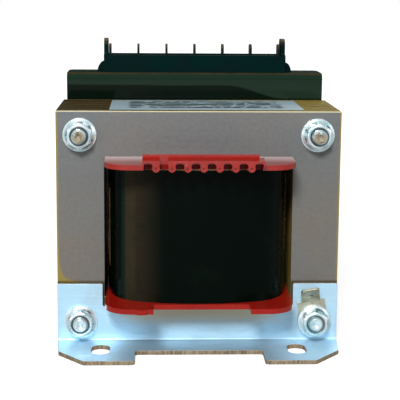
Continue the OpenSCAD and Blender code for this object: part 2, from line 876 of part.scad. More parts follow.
module bracket_section() {
    polygon(rounded([
        [half_stack, bracket_foot, 0],
        [half_stack, bracket_top, bend_r + bracket_t],
        [half_stack + bracket_reach, bracket_top, 0],
        [half_stack + bracket_reach, bracket_top - bracket_t, 0],
        [half_stack + bracket_t, bracket_top - bracket_t, bend_r],
        [half_stack + bracket_t, bracket_foot, 0]
    ]));
}

module bracket_front() {
    side = core_w / 2 - bracket_inset;
    polygon(whole(rounded([
        [0, bracket_foot, 0],
        [side, bracket_foot, bracket_corner],
        [side, bracket_top + 1, 0],
        [0, bracket_top + 1, 0]
    ])));
}

module bracket_plan() {
    side = core_w / 2 - bracket_inset;
    polygon(whole(rounded([
        [0, half_stack - 1, 0],
        [side, half_stack - 1, 0],
        [side, half_stack + bracket_reach, bracket_corner],
        [0, half_stack + bracket_reach, 0]
    ])));
}

// One long window for the inner tails and a short one for each end tail
module tail_windows() {
    inner = (blade_count - 3) / 2 * blade_pitch + blade_t / 2 + tail_window_gap;
    outer = (blade_count - 1) / 2 * blade_pitch;
    short = blade_t + 2 * tail_window_gap;
    translate([0, strip_mid]) square([2 * inner, tail_window], center = true);
    for (side = [-1, 1])
        translate([side * outer, strip_mid]) square([short, tail_window], center = true);
}

module terminal_bracket() {
    color("#141816") difference() {
        intersection() {
            across(core_w) bracket_section();
            along_y(half_stack - 1, half_stack + bracket_reach + 1) bracket_front();
            translate([0, 0, bracket_foot - 1])
                linear_extrude(bracket_top - bracket_foot + 2) bracket_plan();
        }
        for (side = [-1, 1]) {
            translate([side * bolt_x, half_stack + bracket_t + 1, bolt_high])
                rotate([90, 0, 0]) cylinder(d = bolt_hole_d, h = bracket_t + 2);
            translate([side * rivet_x, strip_mid, bracket_top - bracket_t - 1])
                cylinder(d = rivet_d + 2 * rivet_clearance, h = bracket_t + 2);
        }
        translate([0, 0, bracket_top - bracket_t - 1]) linear_extrude(bracket_t + 2) tail_windows();
    }
}

// An end cheek, seen from the side
module cheek_outline() {
    front = strip_mid - strip_depth / 2;
    back = strip_mid + strip_depth / 2;
    low = bracket_top + strip_wall_h;
    polygon(rounded([
        [front, bracket_top, 0],
        [back, bracket_top, 0],
        [back, low, cheek_fillet],
        [strip_mid + cheek_w / 2, low, cheek_fillet],
        [strip_mid + cheek_w / 2, bracket_top + cheek_h, cheek_corner],
        [strip_mid - cheek_w / 2, bracket_top + cheek_h, cheek_corner],
        [strip_mid - cheek_w / 2, low, cheek_fillet],
        [front, low, cheek_fillet]
    ]));
}

// An ear outside a cheek, seen from the front, with its top a quarter ellipse
module ear_outline() {
    polygon(concat(
        [[0, 0]],
        [for (i = [0 : quarter]) [ear_reach * cos(90 * i / quarter), ear_h * sin(90 * i / quarter)]]
    ));
}

module terminal_strip() {
    wall_w = 2 * strip_end;
    color("#0f1413") difference() {
        union() {
            translate([-strip_end, strip_front, bracket_top])
                cube([wall_w, strip_depth, strip_floor_t]);
            for (y = [strip_front, strip_front + strip_depth - strip_wall_t])
                translate([-strip_end, y, bracket_top]) cube([wall_w, strip_wall_t, strip_wall_h]);
            for (side = [-1, 1])
                translate([side * (strip_end - cheek_t / 2), 0, 0]) across(cheek_t) cheek_outline();
            for (side = [0, 1]) mirror([side, 0, 0])
                translate([strip_end - eps, 0, bracket_top])
                    along_y(strip_mid - ear_w / 2, strip_mid + ear_w / 2) ear_outline();
            for (k = [1 : blade_count])
                translate([blade_x(k) - boss_w / 2, strip_mid - blade_w / 2 - boss_end, bracket_top])
                    cube([boss_w, blade_w + 2 * boss_end, strip_floor_t + boss_h]);
        }
        for (k = [1 : blade_count]) translate([blade_x(k), strip_mid, 0]) {
            slot_t = blade_t + 2 * blade_clearance;
            slot_b = blade_w + 2 * blade_clearance;
            slot_c = tail_w + 2 * blade_clearance;
            translate([-slot_t / 2, -slot_b / 2, tail_seat]) cube([slot_t, slot_b, cheek_h]);
            translate([-slot_t / 2, -slot_c / 2, bracket_top - 1]) cube([slot_t, slot_c, cheek_h]);
        }
        for (side = [-1, 1]) translate([side * rivet_x, strip_mid, bracket_top - 1])
            cylinder(d = rivet_d + 2 * rivet_clearance, h = strip_floor_t + 2);
    }
}

module strip_rivets() {
    grip_low = bracket_top - bracket_t;
    rim = rivet_head_d - 2 * rivet_slope;
    color("#b9c0c4") for (side = [-1, 1]) translate([side * rivet_x, strip_mid, 0]) {
        translate([0, 0, grip_low - rivet_head_h / 2])
            cylinder(d = rivet_d, h = strip_floor - grip_low + rivet_head_h);
        translate([0, 0, strip_floor]) cylinder(d1 = rivet_head_d, d2 = rim, h = rivet_head_h);
        translate([0, 0, grip_low - rivet_head_h])
            cylinder(d1 = rim, d2 = rivet_head_d, h = rivet_head_h);
    }
}

function blade_x(k) = (k - (blade_count + 1) / 2) * blade_pitch;

// A blade stands on its shoulders in the strip, with its tail below the bracket
module terminal_blade(k) {
    top = bracket_top + blade_rise;
    tail_low = bracket_top - tail_len;
    color("#8d7a5e") translate([blade_x(k), strip_mid, 0]) difference() {
        across(blade_t) polygon([
            [-tail_w / 2, tail_low + tail_bevel],
            [-tail_w / 2 + tail_bevel, tail_low],
            [tail_w / 2 - tail_bevel, tail_low],
            [tail_w / 2, tail_low + tail_bevel],
            [tail_w / 2, tail_seat],
            [blade_w / 2, tail_seat],
            [blade_w / 2, top - blade_bevel],
            [blade_w / 2 - blade_bevel, top],
            [-blade_w / 2 + blade_bevel, top],
            [-blade_w / 2, top - blade_bevel],
            [-blade_w / 2, tail_seat],
            [-tail_w / 2, tail_seat]
        ]);
        for (hole = [[top - blade_hole_drop, blade_hole_d], [tail_low + tail_hole_rise, tail_hole_d]])
            translate([-blade_t, 0, hole[0]])
                rotate([0, 90, 0]) cylinder(d = hole[1], h = 2 * blade_t);
    }
}

// ---------- lead wires ----------

// A smooth route through a few stations, by a Catmull-Rom curve
function smooth(p, steps) =
    let (last = len(p) - 1)
    [for (i = [0 : last - 1], s = [0 : steps - 1])
        let (
            a = p[max(i - 1, 0)],
            b = p[i],
            c = p[i + 1],
            d = p[min(i + 2, last)],
            t = s / steps
        )
        0.5 * (2 * b + (c - a) * t + (2 * a - 5 * b + 4 * c - d) * t * t
            + (3 * b - a - 3 * c + d) * t * t * t),
        p[last]
    ];

// A lead runs from the side of its tail, down between two teeth of the rear comb, to the coil
function lead_route(k) =
    let (
        r = lead_d / 2,
        tip = bracket_top - tail_len,
        top_x = blade_x(k) + blade_t / 2 + r + 2 * lead_gap,
        low_x = comb_shift + (k - 1 - tooth_count / 2) * tooth_pitch,
        out = ledge_y + r + lead_gap,
        under = coil_roof - r - lead_gap,
        turn = ledge_back + lead_rise
    )
    [
        [top_x, strip_mid, tip + lead_joint],
        [top_x, strip_mid + lead_d, tip - lead_drop],
        [(2 * top_x + low_x) / 3, strip_mid + lead_sweep, (tip - lead_drop + turn) / 2],
        [low_x, out - 3 * r, turn],
        [low_x, out, ledge_front - r],
        [low_x, out - lead_d, under],
        [low_x, flange_y + r, under],
        [low_x, coil_face(max(0, abs(low_x) - r)) + lead_gap, under]
    ];

module lead_wires() {
    color("#c8b27a") for (k = [1 : blade_count]) tube_along(smooth(lead_route(k), 3), lead_d / 2);
}

// ---------- label ----------

module rating_label() {
    color("#9aa9b8") translate([label_shift - label_w / 2, -label_d / 2, core_top])
        cube([label_w, label_d, label_t]);
}

e_laminations();
i_laminations();
bobbin();
primary_winding();
interlayer_insulation();
secondary_winding();
margin_collar();
outer_tape();
core_bolts();
rear_washers();
flange_nuts();
front_foot_bracket();
rear_foot_bracket();
earth_tab();
terminal_bracket();
terminal_strip();
strip_rivets();
terminal_blade(1);  // terminal_blade_1
terminal_blade(2);  // terminal_blade_2
terminal_blade(3);  // terminal_blade_3
terminal_blade(4);  // terminal_blade_4
terminal_blade(5);  // terminal_blade_5
terminal_blade(6);  // terminal_blade_6
terminal_blade(7);  // terminal_blade_7
lead_wires();
rating_label();
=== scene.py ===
"""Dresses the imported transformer: laminated core, bobbin, coil, brackets, terminals and fasteners."""

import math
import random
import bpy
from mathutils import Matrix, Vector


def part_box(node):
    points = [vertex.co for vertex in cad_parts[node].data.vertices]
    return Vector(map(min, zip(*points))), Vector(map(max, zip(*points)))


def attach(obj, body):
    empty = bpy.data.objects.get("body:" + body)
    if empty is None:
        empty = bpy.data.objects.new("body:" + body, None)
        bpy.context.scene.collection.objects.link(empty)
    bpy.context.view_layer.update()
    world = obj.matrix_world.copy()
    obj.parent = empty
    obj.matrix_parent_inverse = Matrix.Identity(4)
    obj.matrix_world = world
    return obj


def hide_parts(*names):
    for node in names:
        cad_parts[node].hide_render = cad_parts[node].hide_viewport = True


bl_info = {
    "name": "Chassis Transformer Dressing",
    "version": (1, 0, 0),
    "blender": (4, 5, 0),
    "location": "View3D > Sidebar > Transformer",
    "description": "Finishes a laminated chassis transformer piece by piece",
    "category": "Object",
}

import bmesh
import bpy
from bpy.props import FloatProperty, FloatVectorProperty, IntProperty, PointerProperty
from mathutils import Matrix, Vector

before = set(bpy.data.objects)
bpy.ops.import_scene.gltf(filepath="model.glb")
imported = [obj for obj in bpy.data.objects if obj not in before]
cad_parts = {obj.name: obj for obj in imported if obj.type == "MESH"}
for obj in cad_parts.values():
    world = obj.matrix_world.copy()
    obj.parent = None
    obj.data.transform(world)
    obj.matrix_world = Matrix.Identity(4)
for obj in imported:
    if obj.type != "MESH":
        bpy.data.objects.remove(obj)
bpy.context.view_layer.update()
MM = 0.001
BODY = "root"
BLADES = 7
WHITE = (1.0, 1.0, 1.0, 1.0)

# How near two points, or two faces' directions, have to be to count as one.
TOUCH = 0.001 * MM
FLAT = math.radians(0.4)

# Shares of a face's normal along an axis that the face is square to, or slants to.
SQUARE = 0.9
SLANT = 0.05

# A height between the top of the foot's own sheet and the start of its upright.
FOOT_LEVEL = 1.7 * MM

# The waves of the tape: each one's turns round the coil, and how far its phase moves from rim to
# rim in radians. The fade is a power that keeps the waves deep until close to the rims.
WAVES = ((9, 7), (17, 3), (5, 12))
RIM_FADE = 0.3

# The lamps of the stage: name, place and size in metres. All are aimed at the same point.
LAMPS = (
    ("key", (-0.2, -1.03, 0.8), (0.28, 0.28)),
    ("fill", (0.9, -0.6, 0.4), (0.5, 0.5)),
    ("low", (-0.55, -0.6, 0.14), (0.22, 0.2)),
    ("back", (0.35, 0.8, 0.55), (0.5, 0.5)),
    ("top", (-0.1, 0.3, 1.1), (0.6, 0.6)),
)
LAMP_AIM = (0.0, 0.0, 0.05)
CAMERA_PLACE = (-0.01616, -0.420, 0.1224)
CAMERA_AIM = (0.0013, 0.0, 0.0467)


def tint(code):
    """A linear colour from a web colour such as #8a8a80."""
    channels = [int(code[i : i + 2], 16) / 255 for i in (1, 3, 5)]
    return tuple(c / 12.92 if c <= 0.04045 else ((c + 0.055) / 1.055) ** 2.4 for c in channels)


def colour(name, code, description):
    """A colour setting, with a web colour as its default."""
    return FloatVectorProperty(
        name=name, description=description, subtype="COLOR", size=3, min=0, max=1, default=tint(code)
    )


def length(name, millimetres, description):
    """A length setting, with its default in millimetres."""
    return FloatProperty(
        name=name, description=description, subtype="DISTANCE", unit="LENGTH", min=0,
        default=millimetres * MM,
    )


def power(name, watts):
    """The power setting of a lamp."""
    description = f"Power of the {name.lower()} lamp"
    return FloatProperty(name=name, description=description, unit="POWER", min=0, default=watts)


# ---------------------------------------------------------------- settings


class CoreSettings(bpy.types.PropertyGroup):
    """The stack of laminations and the look of its steel and varnish."""

    sheet: length("Sheet", 0.5, "Pitch of the laminations in the stack")
    gap: length("Gap", 0.06, "Dark gap that shows between two laminations")
    pack: IntProperty(name="Pack", description="Laminations that lie the same way round", default=8, min=1)
    wander: length("Wander", 0.05, "How far a lamination may sit off its neighbours")
    room: FloatProperty(name="Room", description="Shrinkage as a share of the wander", default=1.2, min=1)
    face: colour("Face", "#6f6f6d", "Annealed face of a lamination")
    face_warm: colour("Warm face", "#776f62", "Face where varnish has browned it")
    face_cool: colour("Cool face", "#686c6f", "Bluish heat tint near the top of the face")
    grain: colour("Grain", "#a2a29e", "Fine pale grain of the face")
    edge_dark: colour("Dark edge", "#33270a", "Thick varnish on the cut edges")
    edge_amber: colour("Amber edge", "#95843f", "Thin amber varnish on the cut edges")
    # Pale edge colour: bare steel on a few sheets, and a painted highlight along the top and front edges of
    # the stack.
    bare_edge_and_highlight: colour("Bare edge", "#e4dcb4", "Bare cut edge that catches the light")


class BobbinSettings(bpy.types.PropertyGroup):
    """The moulded bobbin."""

    round: length("Round", 0.42, "Radius of the moulding's corners")
    nylon: colour("Nylon", "#8f170d", "Colour of the moulded bobbin")
    nylon_deep: colour("Deep nylon", "#760d08", "Colour along the flow marks of the moulding")
    # Painted shade inside the bays of the comb.
    nylon_bay_shade: colour("Dark nylon", "#6a0a07", "Colour inside the bays of the comb")
    ridge: length("Ridge", 3.1, "How far the comb's ridge stands over the upper flange")
    bay_inset: length("Bay inset", 7.8, "Distance from the side of a flange to the comb's bays")
    bay_depth: length("Bay depth", 4.4, "Distance from the front of the comb to the back of its bays")


class CoilSettings(bpy.types.PropertyGroup):
    """The tape over the coil, and what lies under it."""

    tape: colour("Tape", "#010704", "Outer tape")
    # Painted reflection: a warm band over the left side of the coil, brightest at its crest, with a
    # greenish line at its outer edge.
    tape_reflection: colour("Warm tape", "#262016", "Tape towards the left side of the coil")
    tape_reflection_crest: colour("Tape crest", "#322d1f", "Tape where the coil turns to its left side")
    tape_rim: colour("Tape rim", "#021b16", "Tape at the edge of its warm part")
    tape_cloud: colour("Tape cloud", "#05120b", "Greenish clouds in the tape")
    seam: colour("Seam", "#d09a6c", "Varnish run at the widest part of the coil")
    paper: colour("Paper", "#d8c8a2", "Insulation and margin collar")
    paper_fibre: colour("Paper fibre", "#b59d6e", "Fibres in the insulation")
    copper: colour("Copper", "#b86a3c", "Enamelled wire")
    copper_dark: colour("Dark copper", "#6a2f14", "Wire between two turns")
    wrinkle: length("Wrinkle", 0.06, "Height of the wrinkles in the tape")
    courses: IntProperty(name="Courses", description="Courses that the tape is cut into", default=22, min=1)


class SheetSettings(bpy.types.PropertyGroup):
    """The plated feet and the painted terminal bracket."""

    round: length("Round", 0.12, "Radius of the sheet's edges")
    zinc: colour("Zinc", "#b3daf0", "Zinc plated sheet")
    zinc_dull: colour("Dull zinc", "#93a5a6", "Zinc where it is stained")
    # Painted shadow and reflection of the bobbin on the upright under the coil.
    zinc_bobbin_shade: colour("Warm zinc", "#cbc4a9", "Zinc that varnish has browned under the coil")
    # Painted shade and reflection on the web of the foot between the lugs.
    zinc_web_shade: colour("Web zinc", "#5d7480", "Zinc on the web between the lugs")
    gleam: colour("Gleam", "#ffffff", "Rolling grain that catches the light")
    cut: colour("Cut edge", "#a8977c", "Sheared edge with little plating")
    cut_streak: colour("Cut streak", "#5d4f42", "Streaks across the sheared edge")
    paint: colour("Paint", "#010c05", "Gloss paint of the terminal bracket")
    # Painted reflection: paler paint over the upper part of the bracket's face.
    paint_reflection: colour("High paint", "#18281e", "Paler paint below the bracket's upper bend")
    paint_worn: colour("Worn paint", "#3d3220", "Paint that is worn brown on the crown of the bend")


class FastenerSettings(bpy.types.PropertyGroup):
    """The nuts, bolts, washers and rivets."""

    zinc: colour("Zinc", "#e2f1f6", "Bright zinc of the nuts and bolts")
    stain: colour("Stain", "#958c78", "Brownish tinge in places")
    passive: colour("Passivation", "#86c9d1", "Bluish passivation of the zinc")
    # Painted shade round the bolts, in their dimples and in their threads.
    crease_shade: colour("Crease", "#2c3a36", "Varnish dried dark round the bolts and in their threads")
    bolt_x: length("Bolt across", 40.0, "Distance from a bolt to the middle plane")
    bolt_low: length("Bolt low", 8.5, "Height of the lower bolts")
    bolt_rise: length("Bolt rise", 64.0, "Height between the lower and the upper bolts")
    pitch: length("Pitch", 0.8, "Pitch of the bolt thread")
    depth: length("Depth", 0.3, "Depth of the bolt thread")
    dimple: length("Dimple", 1.1, "Radius within which a face belongs to the dimple of a bolt")
    round: length("Round", 0.08, "Radius of the edges")


class TerminalSettings(bpy.types.PropertyGroup):
    """The terminal strip, its blades, the earth tab and the leads."""

    strip_round: length("Strip round", 0.15, "Radius of the strip's edges")
    blade_round: length("Blade round", 0.08, "Radius of the edges of the blades and the tab")
    strip: colour("Strip", "#001a19", "Moulded terminal strip")
    strip_cast: colour("Strip cast", "#041010", "Greenish cast in the moulding")
    dust: colour("Dust", "#54452f", "Dried varnish on the tips of the cheeks")
    blade: colour("Blade", "#4a3f31", "Dull tinned blade")
    # Painted shade on the lower part of a blade, between the cheeks.
    blade_cheek_shade: colour("Low blade", "#14241c", "Lower part of a blade, between the cheeks")
    tab: colour("Tab", "#c3c1ae", "Earth tab")
    tarnish: colour("Tarnish", "#6f6350", "Clouds of tarnish on the tin")
    sleeve: colour("Sleeve", "#bfa768", "Varnished sleeving of the leads")
    sleeve_weave: colour("Weave", "#8a7238", "Threads of the sleeving")


class LabelSettings(bpy.types.PropertyGroup):
    """The label on the core."""

    round: length("Round", 0.04, "Radius of the label's edges")
    row: length("Row", 5.2, "Distance between two smudged rows")
    film: colour("Film", "#93a6ac", "Bare silver film of the label")
    film_blue: colour("Blue film", "#7d98a8", "Bluish sheen of the film")
    bar: colour("Bar", "#10201f", "Plain smudged rows")


class StageSettings(bpy.types.PropertyGroup):
    """The floor, the lamps and the camera."""

    floor: colour("Floor", "#a8a8a8", "Pale floor")
    reach: length("Reach", 6000.0, "Distance from the object to the sides of the floor")
    near: length("Near", 120.0, "Distance at which the floor starts to glow more")
    far: length("Far", 500.0, "Distance at which the floor is plain white")
    key_power: power("Key", 19.0)
    fill_power: power("Fill", 1.6)
    low_power: power("Low", 0.7)
    back_power: power("Back", 2.0)
    top_power: power("Top", 1.0)
    world: FloatProperty(name="World", description="Strength of the even light", default=0.25, min=0)
    lens: FloatProperty(name="Lens", description="Focal length in millimetres", default=108.0, min=1)
    roll: FloatProperty(name="Roll", description="Roll of the camera", subtype="ANGLE", default=0.0077)


# ---------------------------------------------------------------- finishes


class Finish:
    """A material that is built up from nodes round one Principled shader."""

    def __init__(self, name):
        self.material = bpy.data.materials.new(name)
        self.material.use_nodes = True
        self.tree = self.material.node_tree
        self.shader = self.tree.nodes["Principled BSDF"]
        coordinates = self.tree.nodes.new("ShaderNodeTexCoord")
        self.place = coordinates.outputs["Object"]

    def set(self, **values):
        """Sets the shader's own sockets, with _ for a space in a socket's name."""
        for name, value in values.items():
            self.shader.inputs[name.replace("_", " ")].default_value = value
        return self

    def feed(self, socket, source):
        """Links an output to one of the shader's sockets."""
        self.tree.links.new(source, self.shader.inputs[socket])

    def new(self, kind, inputs=(), **settings):
        """Adds a node, with a link or a plain value for each input that is given."""
        made = self.tree.nodes.new("ShaderNode" + kind)
        for name, value in settings.items():
            setattr(made, name, value)
        for index, value in dict(inputs).items():
            if isinstance(value, bpy.types.NodeSocket):
                self.tree.links.new(value, made.inputs[index])
            else:
                made.inputs[index].default_value = value
        return made

    def stretched(self, scale):
        """The object's coordinates, stretched to another scale along each axis."""
        return self.new("Mapping", {"Vector": self.place, "Scale": scale}).outputs[0]

    def noise(self, scale, detail=3.0, roughness=0.5, at=None, distortion=0.0):
        """Cloudy noise from 0 to 1, finer with a higher scale."""
        made = self.new("TexNoise", {
            "Vector": at or self.place, "Scale": scale, "Detail": detail,
            "Roughness": roughness, "Distortion": distortion,
        })
        return made.outputs["Fac"]

    def axis(self, name):
        """One of the object's coordinates, in metres."""
        return self.new("SeparateXYZ", {0: self.place}).outputs[name]

    def band(self, value, low, high, out_low=0.0, out_high=1.0):
        """Maps a value from low..high to out_low..out_high with a soft start and end."""
        made = self.new("MapRange", {
            "Value": value, "From Min": low, "From Max": high, "To Min": out_low, "To Max": out_high,
        })
        made.interpolation_type = "SMOOTHSTEP"
        return made.outputs[0]

    def zone(self, place, near, far, plane=0.0, out_near=0.0, out_far=1.0):
        """A band between two distances past a plane, both in millimetres."""
        return self.band(place, plane + near * MM, plane + far * MM, out_near, out_far)

    def calc(self, kind, *values):
        """The result of a Math node, on outputs or plain numbers."""
        return self.new("Math", dict(enumerate(values)), operation=kind).outputs[0]

    def times(self, first, *others):
        """The product of two or more values."""
        for other in others:
            first = self.calc("MULTIPLY", first, other)
        return first

    def plus(self, first, *others):
        """The total of two or more values."""
        for other in others:
            first = self.calc("ADD", first, other)
        return first

    def minus(self, a, b):
        """What is left of a without b."""
        return self.calc("SUBTRACT", a, b)

    def larger(self, a, b):
        """The larger of two values."""
        return self.calc("MAXIMUM", a, b)

    def unsigned(self, value):
        """A value without its sign."""
        return self.calc("ABSOLUTE", value)

    def mix(self, factor, a, b):
        """Mixes two colours, each a setting or another node's output."""
        made = self.new("Mix", {0: factor}, data_type="RGBA")
        for socket, value in ((6, a), (7, b)):
            if isinstance(value, bpy.types.NodeSocket):
                self.tree.links.new(value, made.inputs[socket])
            else:
                made.inputs[socket].default_value = (*value[:3], 1.0)
        return made.outputs[2]

    def bump(self, height, strength, distance, under=None):
        """Bumps by a height, over another bump where one is given."""
        inputs = {"Height": height, "Strength": strength, "Distance": distance}
        if under:
            inputs["Normal"] = under
        return self.new("Bump", inputs).outputs[0]


def lamination_face(core):
    """Grey annealed steel with a cool tint above, a warm one below, varnish at its rims and a painted
    highlight along its top edge.
    """
    made = Finish("lamination_face")
    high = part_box("e_laminations")[1]
    foot_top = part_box("front_foot_bracket")[1].z
    across, up = made.axis("X"), made.axis("Z")
    blotch = made.noise(28, 4, 0.55)
    fine = made.noise(900, 3, 0.6)
    warm = made.zone(made.plus(up, made.times(blotch, 50 * MM)), 105, 30)
    base = made.mix(warm, core.face_cool, core.face_warm)
    base = made.mix(made.band(blotch, 0.35, 0.65), base, core.face)
    base = made.mix(made.times(made.band(fine, 0.3, 0.7), 0.08), base, core.grain)
    ragged = made.times(made.noise(160, 4, 0.6), 0.7 * MM)
    rim = made.zone(made.plus(made.unsigned(across), ragged), -0.6, 0.2, high.x)
    inward = made.plus(across, high.x)
    corner = made.times(inward, made.minus(up, foot_top - 0.3 * MM))
    pool = made.times(made.band(corner, 7 * MM**2, 5 * MM**2), made.zone(inward, 9, 6))
    base = made.mix(made.times(made.larger(rim, pool), 0.85), base, core.edge_amber)
    # Painted highlight along the top edge of the face.
    base = made.mix(made.times(made.zone(up, -0.5, -0.2, high.z), 0.7), base, core.bare_edge_and_highlight)
    buried = made.zone(made.unsigned(made.axis("Y")), -0.4, -0.7, high.y)
    base = made.mix(buried, base, core.edge_dark)
    seam = made.times(made.zone(up, 1.1, 0.2, foot_top), 0.75)
    base = made.mix(seam, base, core.edge_dark)
    made.feed("Base Color", base)
    made.feed("Roughness", made.band(fine, 0.3, 0.7, 0.44, 0.56))
    made.feed("Normal", made.bump(fine, 0.1, 0.02 * MM))
    return made.set(Metallic=0.5, Specular_IOR_Level=0.3).material


def lamination_edge(core):
    """Cut edges under dipping varnish: dark amber in runs, bare along a few sheets, with a painted
    highlight along the front of the stack.
    """
    made = Finish("lamination_edge")
    deep = made.axis("Y")
    sheet = made.calc("FLOOR", made.times(deep, 1 / core.sheet))
    own = made.new("TexWhiteNoise", {"W": sheet}, noise_dimensions="1D").outputs["Value"]
    run = made.noise(55, 4, 0.6, distortion=0.8)
    speck = made.noise(420, 3, 0.6, made.stretched((1.0, 4.0, 1.0)))
    lean = made.zone(made.axis("X"), -30, 40, out_near=-0.32, out_far=0.3)
    tone = made.plus(made.times(own, 0.4), made.times(run, 0.5), lean)
    base = made.mix(made.band(tone, 0.3, 0.7), core.edge_dark, core.edge_amber)
    bare = made.times(made.band(own, 0.78, 0.95), made.band(speck, 0.35, 0.6))
    # Painted highlight along the front of the stack, laid over the few bare sheets.
    front = made.zone(deep, 0.7, 0.4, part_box("e_laminations")[0].y)
    bare = made.larger(made.times(bare, 0.2), made.times(front, 0.85))
    base = made.mix(bare, base, core.bare_edge_and_highlight)
    made.feed("Base Color", base)
    made.feed("Roughness", made.band(run, 0.35, 0.65, 0.45, 0.6))
    made.feed("Normal", made.bump(speck, 0.3, 0.04 * MM))
    return made.set(Specular_IOR_Level=0.05).material


def red_nylon(bobbin):
    """Glossy moulded nylon, with painted shade in the comb's bays and a sheen on top of its upper flange
    that is a painted reflection of the core's face.
    """
    made = Finish("red_nylon")
    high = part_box("bobbin")[1]
    flange_top = high.z - bobbin.ridge
    bay_side, bay_back = high.x - bobbin.bay_inset, high.y - bobbin.bay_depth
    flow = made.noise(90, 3, 0.5, made.stretched((1.0, 1.0, 3.0)), 0.4)
    grain = made.noise(1500, 2, 0.5)
    base = made.mix(made.band(flow, 0.35, 0.7, 0.0, 0.35), bobbin.nylon, bobbin.nylon_deep)
    up = made.axis("Z")
    deep, wide = made.unsigned(made.axis("Y")), made.unsigned(made.axis("X"))
    # Painted shade in the comb's bays, where the moulding is also given less gloss.
    bay_shade = made.times(
        made.zone(deep, 0.0, -0.5, bay_back), made.zone(wide, 0.0, -0.5, bay_side),
        made.zone(up, 0.1, -0.2, flange_top), made.zone(up, 50, 55),
    )
    base = made.mix(made.times(bay_shade, 0.8), base, bobbin.nylon_bay_shade)
    made.feed("Base Color", base)
    low_gloss = made.zone(up, 20, 50, out_near=0.55)
    made.feed("Specular IOR Level", made.times(made.band(bay_shade, 1.0, 0.0, 0.08, 0.7), low_gloss))
    # Sheen on the top of the upper flange, strongest towards the back: a painted reflection of the core's
    # face.
    film = made.times(
        made.zone(up, -0.2, -0.1, flange_top), made.zone(up, 0.4, 0.2, flange_top, 0.25),
        made.zone(deep, 21, 36, out_near=0.8, out_far=0.0),
    )
    made.feed("Sheen Weight", film)
    made.feed("Roughness", made.band(flow, 0.3, 0.7, 0.09, 0.16))
    made.feed("Normal", made.bump(grain, 0.04, 0.02 * MM, made.bump(flow, 0.1, 0.2 * MM)))
    return made.set(
        Sheen_Roughness=0.4, Subsurface_Weight=0.05,
        Subsurface_Radius=(2 * MM, 0.4 * MM, 0.2 * MM), Subsurface_Scale=1.0,
    ).material


def black_tape(coil):
    """Glossy tape with wrinkles, a painted reflection as a warm band over its left side, and a run of
    varnish where it is widest.
    """
    made = Finish("black_tape")
    side = made.axis("X")
    ripple = made.noise(26, 3, 0.5, made.stretched((1.0, 1.0, 0.25)))
    # Painted reflection over the left side of the coil, brightest at its crest, with a greenish line at its
    # outer edge.
    warm = made.zone(made.plus(side, made.times(ripple, 4 * MM)), -9, -21)
    outer = made.zone(side, -26.2, -24.6)
    base = made.mix(made.times(warm, outer), coil.tape, coil.tape_reflection)
    reflection_crest = made.times(made.zone(side, -20.5, -22.2), outer)
    base = made.mix(made.times(reflection_crest, 0.5), base, coil.tape_reflection_crest)
    rim = made.times(made.zone(side, -24.5, -25), made.zone(side, -26.3, -25.6))
    base = made.mix(made.times(rim, 0.8), base, coil.tape_rim)
    wide = made.unsigned(made.plus(side, made.times(ripple, 0.6 * MM)))
    up = made.minus(made.axis("Z"), made.zone(side, -1, 1, out_far=6 * MM))
    height = made.times(made.zone(up, 25.5, 27.5), made.zone(up, 54.5, 52))
    line = made.times(made.zone(wide, 29.8, 30), made.zone(wide, 30.6, 30.3))
    base = made.mix(made.times(line, height, 0.9), base, coil.seam)
    cloudy = made.noise(60, 4, 0.6)
    base = made.mix(made.band(cloudy, 0.5, 0.75, 0.0, 0.4), base, coil.tape_cloud)
    made.feed("Base Color", base)
    scuff = made.noise(500, 4, 0.6, made.stretched((0.3, 0.3, 2.0)))
    made.feed("Roughness", made.band(scuff, 0.3, 0.7, 0.16, 0.3))
    made.feed("Normal", made.bump(scuff, 0.05, 0.03 * MM, made.bump(ripple, 0.25, 0.4 * MM)))
    return made.set(Specular_IOR_Level=0.06).material


def zinc_sheet(sheet):
    """Pale blue zinc plate with soft stains and rolling grain, with painted shade on the web between the
    lugs and a painted shadow and reflection of the bobbin under the coil.
    """
    made = Finish("zinc_sheet")
    up = made.axis("Z")
    cloud = made.noise(45, 4, 0.6, distortion=0.5)
    grain = made.noise(1300, 3, 0.6, made.stretched((0.08, 1.0, 1.0)))
    base = made.mix(made.band(cloud, 0.48, 0.75, 0.0, 0.45), sheet.zinc, sheet.zinc_dull)
    base = made.mix(made.band(grain, 0.4, 0.7, 0.0, 0.12), base, sheet.gleam)
    inner = made.zone(made.unsigned(made.axis("X")), 32, 18)
    # Painted shade and reflection on the web of the foot between the lugs.
    web = made.times(inner, made.zone(up, 2.5, 1.6))
    base = made.mix(made.times(web, 0.6), base, sheet.zinc_web_shade)
    # Painted shadow and reflection of the bobbin on the upright under the coil.
    under = made.times(made.zone(up, 5.5, 11.5), inner, made.zone(up, 17.5, 16.5))
    base = made.mix(made.times(under, 0.95), base, sheet.zinc_bobbin_shade)
    made.feed("Base Color", base)
    made.feed("Roughness", made.band(cloud, 0.3, 0.7, 0.4, 0.52))
    made.feed("Normal", made.bump(grain, 0.08, 0.02 * MM))
    return made.set(Metallic=0.45, Specular_IOR_Level=0.4).material


def cut_steel(sheet):
    """Sheared edge: brown grey with streaks across the thickness."""
    made = Finish("cut_steel")
    streak = made.noise(1600, 3, 0.6, made.stretched((1.0, 1.0, 0.2)))
    made.feed("Base Color", made.mix(made.band(streak, 0.35, 0.75), sheet.cut, sheet.cut_streak))
    made.feed("Normal", made.bump(streak, 0.3, 0.04 * MM))
    return made.set(Metallic=0.5, Roughness=0.5).material


